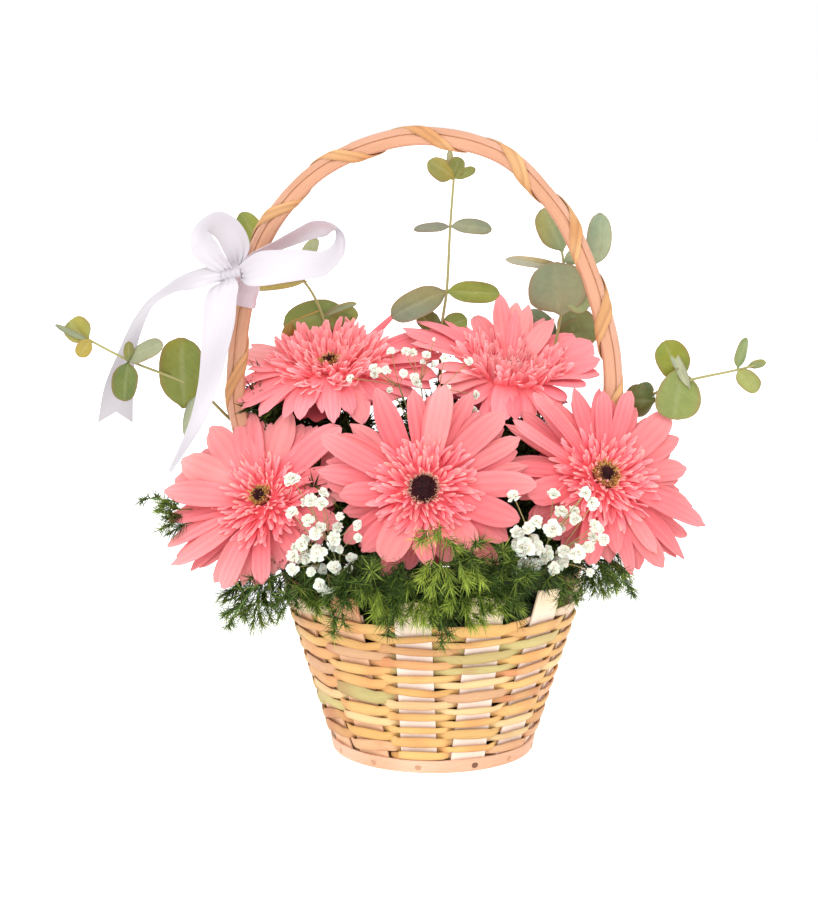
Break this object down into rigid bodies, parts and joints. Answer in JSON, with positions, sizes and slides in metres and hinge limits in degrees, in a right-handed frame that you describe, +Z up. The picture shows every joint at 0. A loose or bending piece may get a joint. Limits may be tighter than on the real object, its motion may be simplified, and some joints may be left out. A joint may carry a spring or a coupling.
{
  "type": "flower basket arrangement",
  "caption": "Arrangement of large pink daisy-like flowers with greenery in a woven wooden basket with an arched handle and a ribbon bow; stands on its flat base.",
  "frame": {"origin": "centre of the basket's underside, where it rests on the table", "axes": "+Z up, the front with the facing flowers towards -Y, the bow on the -X side of the handle"},
  "size_m": [0.4095, 0.2167, 0.3589],
  "materials": {
    "base_wood": "matt, unfinished",
    "stake_wood": "pale, unfinished chip wood",
    "weaver_wood": "split wood with a slight sheen",
    "hoop_wood": "matt, unfinished",
    "handle_wood": "peeled rods with a slight sheen",
    "splint_wood": "split wood with a slight sheen",
    "satin": "pale lilac-white satin",
    "liner": "dark thin film",
    "foam": "wet green floral foam",
    "petal": "soft coral pink petal",
    "eye": "dark maroon florets",
    "flower_stem": "fresh green stem",
    "eucalyptus": "waxy grey-green leaf",
    "floret": "white papery florets",
    "fern": "fine green needles"
  },
  "bodies": {
    "root": {"base_disc": "base_wood", "stake_1": "stake_wood", "stake_2": "stake_wood", "stake_3": "stake_wood", "stake_4": "stake_wood", "stake_5": "stake_wood", "stake_6": "stake_wood", "stake_7": "stake_wood", "stake_8": "stake_wood", "stake_9": "stake_wood", "stake_10": "stake_wood", "stake_11": "stake_wood", "stake_12": "stake_wood", "stake_13": "stake_wood", "weaver": "weaver_wood", "base_hoop": "hoop_wood", "handle_rod_outer": "handle_wood", "handle_rod_inner": "handle_wood", "handle_splint": "splint_wood", "ribbon_bow": "satin", "liner_tub": "liner", "floral_foam": "foam", "gerbera_front_stem": "flower_stem", "gerbera_left_stem": "flower_stem", "gerbera_right_stem": "flower_stem", "gerbera_back_left_stem": "flower_stem", "gerbera_back_right_stem": "flower_stem", "gerbera_front_eye": "eye", "gerbera_left_eye": "eye", "gerbera_right_eye": "eye", "gerbera_back_left_eye": "eye", "gerbera_back_right_eye": "eye", "gerbera_front_petals": "petal", "gerbera_left_petals": "petal", "gerbera_right_petals": "petal", "gerbera_back_left_petals": "petal", "gerbera_back_right_petals": "petal", "eucalyptus_far_left": "eucalyptus", "eucalyptus_back_left": "eucalyptus", "eucalyptus_centre": "eucalyptus", "eucalyptus_back_right": "eucalyptus", "eucalyptus_far_right": "eucalyptus", "gypsophila_left": "floret", "gypsophila_right": "floret", "gypsophila_middle": "floret", "fern_left_1": "fern", "fern_left_2": "fern", "fern_left_3": "fern", "fern_front_1": "fern", "fern_front_2": "fern", "fern_front_3": "fern", "fern_front_4": "fern", "fern_front_5": "fern", "fern_right_1": "fern", "fern_right_2": "fern", "fern_back_1": "fern", "fern_back_2": "fern"}
  },
  "joints": []
}
